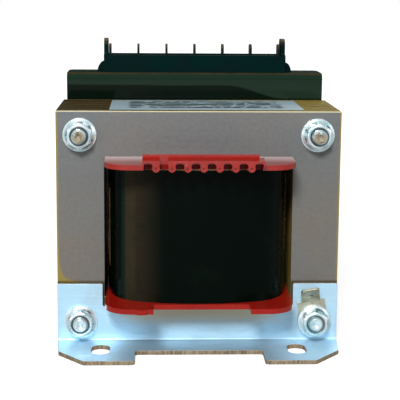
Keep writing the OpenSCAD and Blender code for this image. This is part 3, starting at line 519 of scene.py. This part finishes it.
def off_bolt(made, fasteners):
    """How far a point lies from the axis of its core bolt, across and up."""
    across, up = made.axis("X"), made.axis("Z")
    column = made.calc("FLOOR", made.calc("DIVIDE", across, 2 * fasteners.bolt_x))
    middle = made.times(made.plus(column, 0.5), 2 * fasteners.bolt_x)
    level = made.calc("DIVIDE", made.minus(up, fasteners.bolt_low), fasteners.bolt_rise)
    level = made.calc("FLOOR", made.plus(level, 0.5))
    height = made.plus(made.times(level, fasteners.bolt_rise), fasteners.bolt_low)
    return made.minus(across, middle), made.minus(up, height)


def bright_zinc(fasteners):
    """Bright plated fasteners, with painted shade round each bolt and at the root of each nut's hex, and a
    tinge in places.
    """
    made = Finish("bright_zinc")
    cloud = made.noise(260, 4, 0.6)
    turned = made.noise(3000, 2, 0.5)
    film = made.noise(190, 3, 0.5)
    base = made.mix(made.band(cloud, 0.52, 0.74, 0.0, 0.35), fasteners.zinc, fasteners.stain)
    base = made.mix(made.band(film, 0.45, 0.65, 0.0, 0.5), base, fasteners.passive)
    side, rise = off_bolt(made, fasteners)
    far = made.calc("SQRT", made.plus(made.times(side, side), made.times(rise, rise)))
    # Painted shade on the nut's countersink round the bolt, and in arcs at the root of its hex.
    ring = made.times(made.zone(far, 2.5, 2.7), made.zone(far, 3.4, 3.1))
    root = made.times(made.zone(far, 4.1, 4.3), made.zone(far, 4.9, 4.6), made.band(cloud, 0.5, 0.56))
    ahead = made.zone(made.axis("Y"), 0.0, -1.0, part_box("e_laminations")[0].y)
    dark = made.times(made.larger(ring, root), ahead, 0.8)
    made.feed("Base Color", made.mix(dark, base, fasteners.crease_shade))
    made.feed("Roughness", made.band(turned, 0.3, 0.7, 0.26, 0.38))
    made.feed("Normal", made.bump(turned, 0.06, 0.01 * MM))
    return made.set(Metallic=0.7).material


def shaded_zinc(fasteners):
    """Plating in the dimples of the bolts, darkened by painted shade and a brownish stain."""
    made = Finish("shaded_zinc")
    cloud = made.noise(700, 4, 0.6)
    made.feed("Base Color", made.mix(made.band(cloud, 0.25, 0.45), fasteners.crease_shade, fasteners.stain))
    made.feed("Roughness", made.band(cloud, 0.3, 0.7, 0.4, 0.6))
    return made.set(Metallic=0.5, Specular_IOR_Level=0.3).material


def threaded_zinc(fasteners):
    """Bright plating over a helical thread that runs round each core bolt, with painted shade in its
    grooves.
    """
    made = Finish("threaded_zinc")
    side, rise = off_bolt(made, fasteners)
    round_it = made.calc("ARCTAN2", rise, side)
    along = made.times(made.axis("Y"), math.tau / fasteners.pitch)
    wave = made.calc("SINE", made.plus(along, round_it))
    cloud = made.noise(400, 4, 0.6)
    base = made.mix(made.band(cloud, 0.5, 0.72, 0.0, 0.5), fasteners.zinc, fasteners.stain)
    # Painted shade in the grooves of the thread.
    made.feed("Base Color", made.mix(made.band(wave, 0.0, -0.9, 0.0, 0.35), base, fasteners.crease_shade))
    made.feed("Normal", made.bump(wave, 1.0, fasteners.depth))
    return made.set(Metallic=0.9, Roughness=0.28).material


def gloss_paint(sheet):
    """Gloss black paint with orange peel, worn brown on its crown, with a painted reflection: paler below
    its upper bend and darker in an arch lower on its face.
    """
    made = Finish("gloss_paint")
    low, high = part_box("terminal_bracket")
    up = made.axis("Z")
    peel = made.noise(700, 2, 0.5)
    sweep = made.noise(40, 3, 0.5)
    chip = made.noise(600, 4, 0.6, made.stretched((0.3, 1.0, 1.0)))
    # Painted reflection: paler above a curved line that falls towards the right, darker below it.
    fall = made.times(made.zone(made.axis("X"), 12, 34), 5 * MM)
    level = made.plus(up, fall, made.times(sweep, 1.2 * MM))
    base = made.mix(made.zone(level, -4.1, -3.5, high.z), sheet.paint, sheet.paint_reflection)
    bend = made.zone(up, -2.9, -2.3, high.z)
    crown = made.times(made.zone(up, -0.8, -0.3, high.z), made.zone(made.axis("Y"), 2.5, 1.8, low.y))
    worn = made.times(crown, made.band(chip, 0.3, 0.6, 0.25, 0.8))
    made.feed("Base Color", made.mix(worn, base, sheet.paint_worn))
    made.feed("Roughness", made.plus(made.band(sweep, 0.3, 0.7, 0.06, 0.12), made.times(bend, 0.6)))
    made.feed("Specular IOR Level", made.band(bend, 0.0, 1.0, 0.15, 0.01))
    made.feed("Normal", made.bump(peel, 0.03, 0.02 * MM))
    return made.material


def thermoset(terminals):
    """Black moulding with a faint green cast and dust on the tips of its cheeks."""
    made = Finish("thermoset")
    flow = made.noise(120, 3, 0.5)
    grain = made.noise(2200, 2, 0.5)
    base = made.mix(made.band(flow, 0.35, 0.7, 0.0, 0.5), terminals.strip, terminals.strip_cast)
    tip = made.zone(made.axis("Z"), -1.7, -0.3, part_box("terminal_strip")[1].z)
    tip = made.times(tip, made.band(flow, 0.3, 0.6, 0.4, 1.0))
    made.feed("Base Color", made.mix(tip, base, terminals.dust))
    made.feed("Roughness", made.band(flow, 0.3, 0.7, 0.28, 0.4))
    made.feed("Normal", made.bump(grain, 0.08, 0.02 * MM))
    return made.set(Specular_IOR_Level=0.04).material


def dull_tin(name, base_colour, terminals):
    """Tinned brass, finely scratched along its length, with painted shade low between the strip's cheeks.
    """
    made = Finish(name)
    up = made.axis("Z")
    scratch = made.noise(1800, 3, 0.6, made.stretched((1.0, 1.0, 0.06)))
    cloud = made.noise(300, 3, 0.6)
    base = made.mix(made.band(cloud, 0.4, 0.7, 0.0, 0.5), base_colour, terminals.tarnish)
    # Painted shade on the blades where they sit between the strip's cheeks.
    low = made.zone(up, -2.5, -4.0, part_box("terminal_strip")[1].z)
    base = made.mix(made.times(low, made.zone(up, 88, 91)), base, terminals.blade_cheek_shade)
    made.feed("Base Color", base)
    made.feed("Roughness", made.band(scratch, 0.3, 0.7, 0.3, 0.46))
    made.feed("Normal", made.bump(scratch, 0.12, 0.02 * MM))
    return made.set(Metallic=0.8).material


def plain_paper(coil):
    """Cream insulation with fibres."""
    made = Finish("cream_paper")
    fibre = made.noise(1200, 4, 0.6, made.stretched((1.0, 1.0, 0.4)))
    made.feed("Base Color", made.mix(made.band(fibre, 0.35, 0.7), coil.paper, coil.paper_fibre))
    made.feed("Normal", made.bump(fibre, 0.2, 0.04 * MM))
    return made.set(Roughness=0.7, Specular_IOR_Level=0.3).material


def enamelled_copper(coil):
    """Turns of wire, one above the other."""
    made = Finish("enamelled_copper")
    wave = {"Vector": made.place, "Scale": 160.0, "Distortion": 0.2}
    turns = made.new("TexWave", wave, bands_direction="Z").outputs["Fac"]
    made.feed("Base Color", made.mix(turns, coil.copper, coil.copper_dark))
    made.feed("Normal", made.bump(turns, 0.5, 0.3 * MM))
    return made.set(Metallic=0.9, Roughness=0.3).material


def varnished_sleeve(terminals):
    """Woven glass sleeving under varnish."""
    made = Finish("varnished_sleeve")
    weave = made.noise(1500, 3, 0.6)
    made.feed("Base Color", made.mix(made.band(weave, 0.35, 0.7), terminals.sleeve, terminals.sleeve_weave))
    made.feed("Normal", made.bump(weave, 0.4, 0.06 * MM))
    return made.set(Roughness=0.38, Specular_IOR_Level=0.5).material


def label_film(label):
    """Silver film with plain smudged rows, and nothing that can be read."""
    made = Finish("label_film")
    low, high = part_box("rating_label")
    sheen = made.noise(35, 3, 0.5)
    base = made.mix(made.band(sheen, 0.35, 0.7, 0.0, 0.4), label.film, label.film_blue)
    smudge = made.noise(330, 3, 0.6, made.stretched((1.0, 0.5, 1.0)))
    deep = made.axis("Y")
    row = made.calc("SINE", made.times(deep, math.tau / label.row))
    across = made.unsigned(made.minus(made.axis("X"), (low.x + high.x) / 2))
    inside = made.times(made.zone(across, 27.5, 25.5), made.zone(made.unsigned(deep), 12.8, 11.8))
    printed = made.times(made.band(smudge, 0.4, 0.5), made.band(row, -0.65, -0.2))
    made.feed("Base Color", made.mix(made.times(printed, inside), base, label.bar))
    made.feed("Roughness", made.band(sheen, 0.3, 0.7, 0.3, 0.42))
    return made.set(Specular_IOR_Level=0.15).material


# ---------------------------------------------------------------- shaping


def merged_copy(node):
    """A bmesh of a CAD node with its doubles merged and its flat faces joined."""
    bm = bmesh.new()
    bm.from_mesh(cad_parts[node].data)
    bmesh.ops.remove_doubles(bm, verts=bm.verts, dist=TOUCH)
    bmesh.ops.dissolve_limit(
        bm, angle_limit=FLAT, verts=bm.verts, edges=bm.edges, use_dissolve_boundaries=False
    )
    return bm


def round_edges(bm, radius, above, segments=2):
    """Rounds every edge that turns by more than an angle in degrees."""
    sharp = [
        e for e in bm.edges
        if len(e.link_faces) == 2 and e.calc_face_angle(0.0) > math.radians(above)
    ]
    bmesh.ops.bevel(
        bm, geom=sharp, offset=radius, offset_type="OFFSET", segments=segments, profile=0.5,
        affect="EDGES", clamp_overlap=True, material=-1,
    )


def piece(bm, name, slot, materials, stands_for, smooth=40.0):
    """Makes a piece from a bmesh, at the origin, in the place of one or more CAD nodes."""
    mesh = bpy.data.meshes.new(name)
    bm.to_mesh(mesh)
    bm.free()
    for material in materials:
        mesh.materials.append(material)
    mesh.polygons.foreach_set("use_smooth", [True] * len(mesh.polygons))
    mesh.set_sharp_from_angle(angle=math.radians(smooth))
    made = bpy.data.objects.new(name, mesh)
    bpy.context.scene.collection.objects.link(made)
    weigh = made.modifiers.new("Weighted normals", "WEIGHTED_NORMAL")
    weigh.keep_sharp = True
    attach(made, BODY)
    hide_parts(*stands_for)
    return made


def dressed(node, name, slot, materials, radius, choose=None, above=30.0):
    """A CAD node with its edges rounded and its materials given face by face."""
    bm = merged_copy(node)
    if choose:
        for face in bm.faces:
            face.material_index = choose(face)
    round_edges(bm, radius, above)
    return piece(bm, name, slot, materials, [node])


def finish_node(node, material):
    """Gives a CAD node that keeps its shape a better material."""
    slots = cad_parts[node].data.materials
    slots.clear()
    slots.append(material)


# ---------------------------------------------------------------- core


def front_plate(node, thickness):
    """One lamination at the front of the stack, cut from the CAD node's front face."""
    bm = merged_copy(node)
    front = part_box(node)[0].y
    far = [
        f for f in bm.faces
        if abs(f.calc_center_median().y - front) > TOUCH or f.normal.y > -SQUARE
    ]
    bmesh.ops.delete(bm, geom=far, context="FACES")
    made = bmesh.ops.extrude_face_region(bm, geom=bm.faces[:])
    moved = [v for v in made["geom"] if isinstance(v, bmesh.types.BMVert)]
    bmesh.ops.translate(bm, vec=(0, thickness, 0), verts=moved)
    bmesh.ops.recalc_face_normals(bm, faces=bm.faces)
    return bm


def about(height, change):
    """A transform taken about a height instead of the floor."""
    return Matrix.Translation((0, 0, height)) @ change @ Matrix.Translation((0, 0, -height))


def stack_plates(node, name, core, materials):
    """Repeats one lamination through the stack, turned over with its pack."""
    thickness = core.sheet - core.gap
    plate = front_plate(node, thickness)
    plate.normal_update()
    for face in plate.faces:
        face.material_index = 0 if abs(face.normal.y) > SQUARE else 1
    mesh = bpy.data.meshes.new(name + "_plate")
    plate.to_mesh(mesh)
    plate.free()
    low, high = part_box(node)
    middle = (low.z + high.z) / 2
    count = round((high.y - low.y) / core.sheet)
    chance = random.Random(name)
    stack = bmesh.new()
    turn_over = about(middle, Matrix.Scale(-1, 4, (0, 0, 1)))
    for k in range(count):
        before = set(stack.faces)
        start = len(stack.verts)
        stack.from_mesh(mesh)
        stack.verts.ensure_lookup_table()
        fresh = stack.verts[start:]
        if (k // core.pack) % 2 == 1:
            bmesh.ops.transform(stack, matrix=turn_over, verts=fresh)
            bmesh.ops.reverse_faces(stack, faces=[f for f in stack.faces if f not in before])
        wander = 0.0 if k in (0, count - 1) else core.wander
        side = chance.uniform(-wander, wander)
        rise = chance.uniform(-wander, wander)
        narrower = 1 - core.room * wander / high.x
        lower = 1 - wander / (high.z - middle)
        shrink = about(middle, Matrix.Diagonal((narrower, 1, lower, 1)))
        shift = Matrix.Translation((side, k * core.sheet, rise))
        bmesh.ops.transform(stack, matrix=shift @ shrink, verts=fresh)
    return piece(stack, name, "lamination_steel", materials, [node])


class DressCore(bpy.types.Operator):
    """Builds the stack of E and I laminations sheet by sheet"""

    bl_idname = "transformer.dress_core"
    bl_label = "Laminated core"

    def execute(self, context):
        core = context.scene.transformer_core
        materials = [lamination_face(core), lamination_edge(core)]
        stack_plates("e_laminations", "e_lamination_sheets", core, materials)
        stack_plates("i_laminations", "i_lamination_sheets", core, materials)
        return {"FINISHED"}


# ---------------------------------------------------------------- bobbin and coil


class DressBobbin(bpy.types.Operator):
    """Rounds the moulded bobbin and gives it its red nylon"""

    bl_idname = "transformer.dress_bobbin"
    bl_label = "Bobbin"

    def execute(self, context):
        bobbin = context.scene.transformer_bobbin
        dressed("bobbin", "bobbin_moulding", "bobbin_nylon", [red_nylon(bobbin)], bobbin.round)
        return {"FINISHED"}


def wound_tape(coil):
    """The outer tape: the CAD ring, cut into courses and rippled inwards a little."""
    bm = merged_copy("outer_tape")
    low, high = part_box("outer_tape")
    for k in range(1, coil.courses):
        height = low.z + (high.z - low.z) * k / coil.courses
        geom = bm.verts[:] + bm.edges[:] + bm.faces[:]
        bmesh.ops.bisect_plane(bm, geom=geom, plane_co=(0, 0, height), plane_no=(0, 0, 1))
    chance = random.Random("tape")
    phases = [chance.uniform(0, math.tau) for _ in WAVES]
    for v in bm.verts:
        if v.co.z < low.z + 10 * TOUCH or v.co.z > high.z - 10 * TOUCH:
            continue
        around = math.atan2(v.co.y, v.co.x)
        up = (v.co.z - low.z) / (high.z - low.z)
        dip = sum(math.sin(around * f + up * g + p) for (f, g), p in zip(WAVES, phases))
        depth = Vector((v.co.x, v.co.y, 0)).normalized() * coil.wrinkle * (len(WAVES) + dip)
        v.co -= depth / (2 * len(WAVES)) * math.sin(math.pi * up) ** RIM_FADE
    return bm


class DressCoil(bpy.types.Operator):
    """Wraps the coil in tape and finishes what lies under it"""

    bl_idname = "transformer.dress_coil"
    bl_label = "Coil"

    def execute(self, context):
        coil = context.scene.transformer_coil
        piece(wound_tape(coil), "wound_tape", "black_tape", [black_tape(coil)], ["outer_tape"])
        paper = plain_paper(coil)
        finish_node("margin_collar", paper)
        finish_node("interlayer_insulation", paper)
        copper = enamelled_copper(coil)
        finish_node("primary_winding", copper)
        finish_node("secondary_winding", copper)
        return {"FINISHED"}


# ---------------------------------------------------------------- brackets


def foot_face(face):
    """0 for the plated sides of a foot bracket and 1 for its sheared edges."""
    n, c = face.normal, face.calc_center_median()
    upright = abs(n.y) > SQUARE and c.z > FOOT_LEVEL
    foot = abs(n.z) > SQUARE and c.z < FOOT_LEVEL
    bend = abs(n.x) < 1 - SQUARE and abs(n.y) > SLANT and abs(n.z) > SLANT
    return 0 if upright or foot or bend else 1


class DressFeet(bpy.types.Operator):
    """Plates the two foot brackets"""

    bl_idname = "transformer.dress_feet"
    bl_label = "Foot brackets"

    def execute(self, context):
        sheet = context.scene.transformer_sheet
        materials = [zinc_sheet(sheet), cut_steel(sheet)]
        for node, name in (("front_foot_bracket", "front_foot"), ("rear_foot_bracket", "rear_foot")):
            dressed(node, name, "zinc_sheet", materials, sheet.round, foot_face)
        return {"FINISHED"}


class DressTerminalBracket(bpy.types.Operator):
    """Paints the bracket that carries the terminal strip"""

    bl_idname = "transformer.dress_terminal_bracket"
    bl_label = "Terminal bracket"

    def execute(self, context):
        sheet = context.scene.transformer_sheet
        dressed("terminal_bracket", "painted_bracket", "black_sheet", [gloss_paint(sheet)], sheet.round)
        return {"FINISHED"}


# ---------------------------------------------------------------- fasteners


def from_bolt(fasteners, place):
    """Distance of a place from the axis of the nearest core bolt."""
    height = place.z - fasteners.bolt_low
    if height > fasteners.bolt_rise / 2:
        height -= fasteners.bolt_rise
    return math.hypot(abs(place.x) - fasteners.bolt_x, height)


def bolt_face(fasteners):
    """0 for the turned faces of a bolt, 1 for the dimple of an upper one, 2 for its thread."""
    def choose(face):
        c = face.calc_center_median()
        upper = c.z > fasteners.bolt_rise / 2
        if from_bolt(fasteners, c) < fasteners.dimple and c.y < 0 and upper:
            return 1
        return 2 if c.y < 0 and abs(face.normal.y) < 1 - SQUARE else 0
    return choose


class DressFasteners(bpy.types.Operator):
    """Finishes the nuts, bolts, washers and rivets"""

    bl_idname = "transformer.dress_fasteners"
    bl_label = "Fasteners"

    def execute(self, context):
        fasteners = context.scene.transformer_fasteners
        zinc = bright_zinc(fasteners)
        slot, radius = "zinc_fasteners", fasteners.round
        materials = [zinc, shaded_zinc(fasteners), threaded_zinc(fasteners)]
        dressed("core_bolts", "plated_bolts", slot, materials, radius, bolt_face(fasteners))
        dressed("flange_nuts", "plated_nuts", slot, [zinc], radius, above=20.0)
        dressed("rear_washers", "plated_washers", slot, [zinc], radius)
        dressed("strip_rivets", "plated_rivets", slot, [zinc], radius)
        return {"FINISHED"}


# ---------------------------------------------------------------- terminals


class DressTerminals(bpy.types.Operator):
    """Finishes the strip, its blades, the earth tab and the leads"""

    bl_idname = "transformer.dress_terminals"
    bl_label = "Terminals"

    def execute(self, context):
        terminals = context.scene.transformer_terminals
        moulding = [thermoset(terminals)]
        dressed("terminal_strip", "moulded_strip", "strip_plastic", moulding, terminals.strip_round)
        tin = [dull_tin("blade_tin", terminals.blade, terminals)]
        slot, radius = "tinned_brass", terminals.blade_round
        for k in range(1, BLADES + 1):
            dressed(f"terminal_blade_{k}", f"tinned_blade_{k}", slot, tin, radius)
        tab_tin = [dull_tin("tab_tin", terminals.tab, terminals)]
        dressed("earth_tab", "earth_blade", slot, tab_tin, radius)
        finish_node("lead_wires", varnished_sleeve(terminals))
        return {"FINISHED"}


class DressLabel(bpy.types.Operator):
    """Lays the bare silver label on the core"""

    bl_idname = "transformer.dress_label"
    bl_label = "Label"

    def execute(self, context):
        label = context.scene.transformer_label
        dressed("rating_label", "silver_label", "label_film", [label_film(label)], label.round)
        return {"FINISHED"}


# ---------------------------------------------------------------- stage


def lamp(name, place, size, watts):
    """A soft lamp that the camera doesn't see."""
    data = bpy.data.lights.new(name, "AREA")
    data.shape = "RECTANGLE"
    data.size, data.size_y = size
    data.energy = watts
    made = bpy.data.objects.new(name, data)
    made.location = place
    made.rotation_euler = (Vector(LAMP_AIM) - Vector(place)).to_track_quat("-Z", "Y").to_euler()
    made.visible_camera = False
    bpy.context.scene.collection.objects.link(made)


def studio_world(strength):
    """Even light, with a white background for the camera and through clear pieces."""
    world = bpy.data.worlds.new("studio")
    world.use_nodes = True
    tree = world.node_tree
    plain = tree.nodes["Background"]
    plain.inputs["Strength"].default_value = strength
    white = tree.nodes.new("ShaderNodeBackground")
    white.inputs["Strength"].default_value = 1.0
    for background in (plain, white):
        background.inputs["Color"].default_value = WHITE
    path = tree.nodes.new("ShaderNodeLightPath")
    seen = tree.nodes.new("ShaderNodeMath")
    seen.operation = "MAXIMUM"
    tree.links.new(path.outputs["Is Camera Ray"], seen.inputs[0])
    tree.links.new(path.outputs["Is Transmission Ray"], seen.inputs[1])
    mix = tree.nodes.new("ShaderNodeMixShader")
    tree.links.new(seen.outputs[0], mix.inputs[0])
    tree.links.new(plain.outputs[0], mix.inputs[1])
    tree.links.new(white.outputs[0], mix.inputs[2])
    tree.links.new(mix.outputs[0], tree.nodes["World Output"].inputs["Surface"])
    bpy.context.scene.world = world


def pale_floor(stage):
    """A wide floor that goes white to the camera and keeps the object's shadow."""
    bm = bmesh.new()
    bmesh.ops.create_grid(bm, x_segments=1, y_segments=1, size=stage.reach)
    mesh = bpy.data.meshes.new("floor")
    bm.to_mesh(mesh)
    bm.free()
    floor = bpy.data.objects.new("floor", mesh)
    bpy.context.scene.collection.objects.link(floor)
    made = Finish("pale_floor")
    seen = made.new("LightPath").outputs["Is Camera Ray"]
    away = made.new("VectorMath", {0: made.place}, operation="LENGTH").outputs["Value"]
    glow = made.band(away, stage.near, stage.far, 0.72, 1.0)
    made.set(Base_Color=(*stage.floor, 1.0), Roughness=0.9, Specular_IOR_Level=0.1, Emission_Color=WHITE)
    made.feed("Emission Strength", made.times(seen, glow))
    mesh.materials.append(made.material)


class SetStage(bpy.types.Operator):
    """Lays the floor, hangs the lamps and places the camera"""

    bl_idname = "transformer.set_stage"
    bl_label = "Stage"

    def execute(self, context):
        stage = context.scene.transformer_stage
        pale_floor(stage)
        studio_world(stage.world)
        for name, place, size in LAMPS:
            lamp(name, place, size, getattr(stage, name + "_power"))
        data = bpy.data.cameras.new("camera")
        data.lens = stage.lens
        data.sensor_width = 36.0
        camera = bpy.data.objects.new("camera", data)
        camera.location = CAMERA_PLACE
        aim = Vector(CAMERA_AIM) - camera.location
        turn = aim.to_track_quat("-Z", "Y").to_matrix() @ Matrix.Rotation(stage.roll, 3, "Z")
        camera.rotation_euler = turn.to_euler()
        context.scene.collection.objects.link(camera)
        context.scene.camera = camera
        context.scene.view_settings.view_transform = "Standard"
        return {"FINISHED"}


class TransformerPanel(bpy.types.Panel):
    """Lists the operators in the sidebar of the 3D view"""

    bl_idname = "VIEW3D_PT_transformer"
    bl_label = "Transformer"
    bl_space_type = "VIEW_3D"
    bl_region_type = "UI"
    bl_category = "Transformer"

    def draw(self, context):
        for operator in OPERATORS:
            self.layout.operator(operator.bl_idname)


SETTINGS = {
    "transformer_core": CoreSettings,
    "transformer_bobbin": BobbinSettings,
    "transformer_coil": CoilSettings,
    "transformer_sheet": SheetSettings,
    "transformer_fasteners": FastenerSettings,
    "transformer_terminals": TerminalSettings,
    "transformer_label": LabelSettings,
    "transformer_stage": StageSettings,
}
OPERATORS = (
    SetStage, DressCore, DressBobbin, DressCoil, DressFeet, DressTerminalBracket,
    DressFasteners, DressTerminals, DressLabel,
)


def register():
    for cls in (*SETTINGS.values(), *OPERATORS, TransformerPanel):
        bpy.utils.register_class(cls)
    for name, cls in SETTINGS.items():
        setattr(bpy.types.Scene, name, PointerProperty(type=cls))


def unregister():
    for name in SETTINGS:
        delattr(bpy.types.Scene, name)
    for cls in reversed((*SETTINGS.values(), *OPERATORS, TransformerPanel)):
        bpy.utils.unregister_class(cls)


def main():
    """Dresses the whole object."""
    register()
    for operator in OPERATORS:
        group, name = operator.bl_idname.split(".")
        getattr(getattr(bpy.ops, group), name)()


if __name__ == "__main__":
    main()
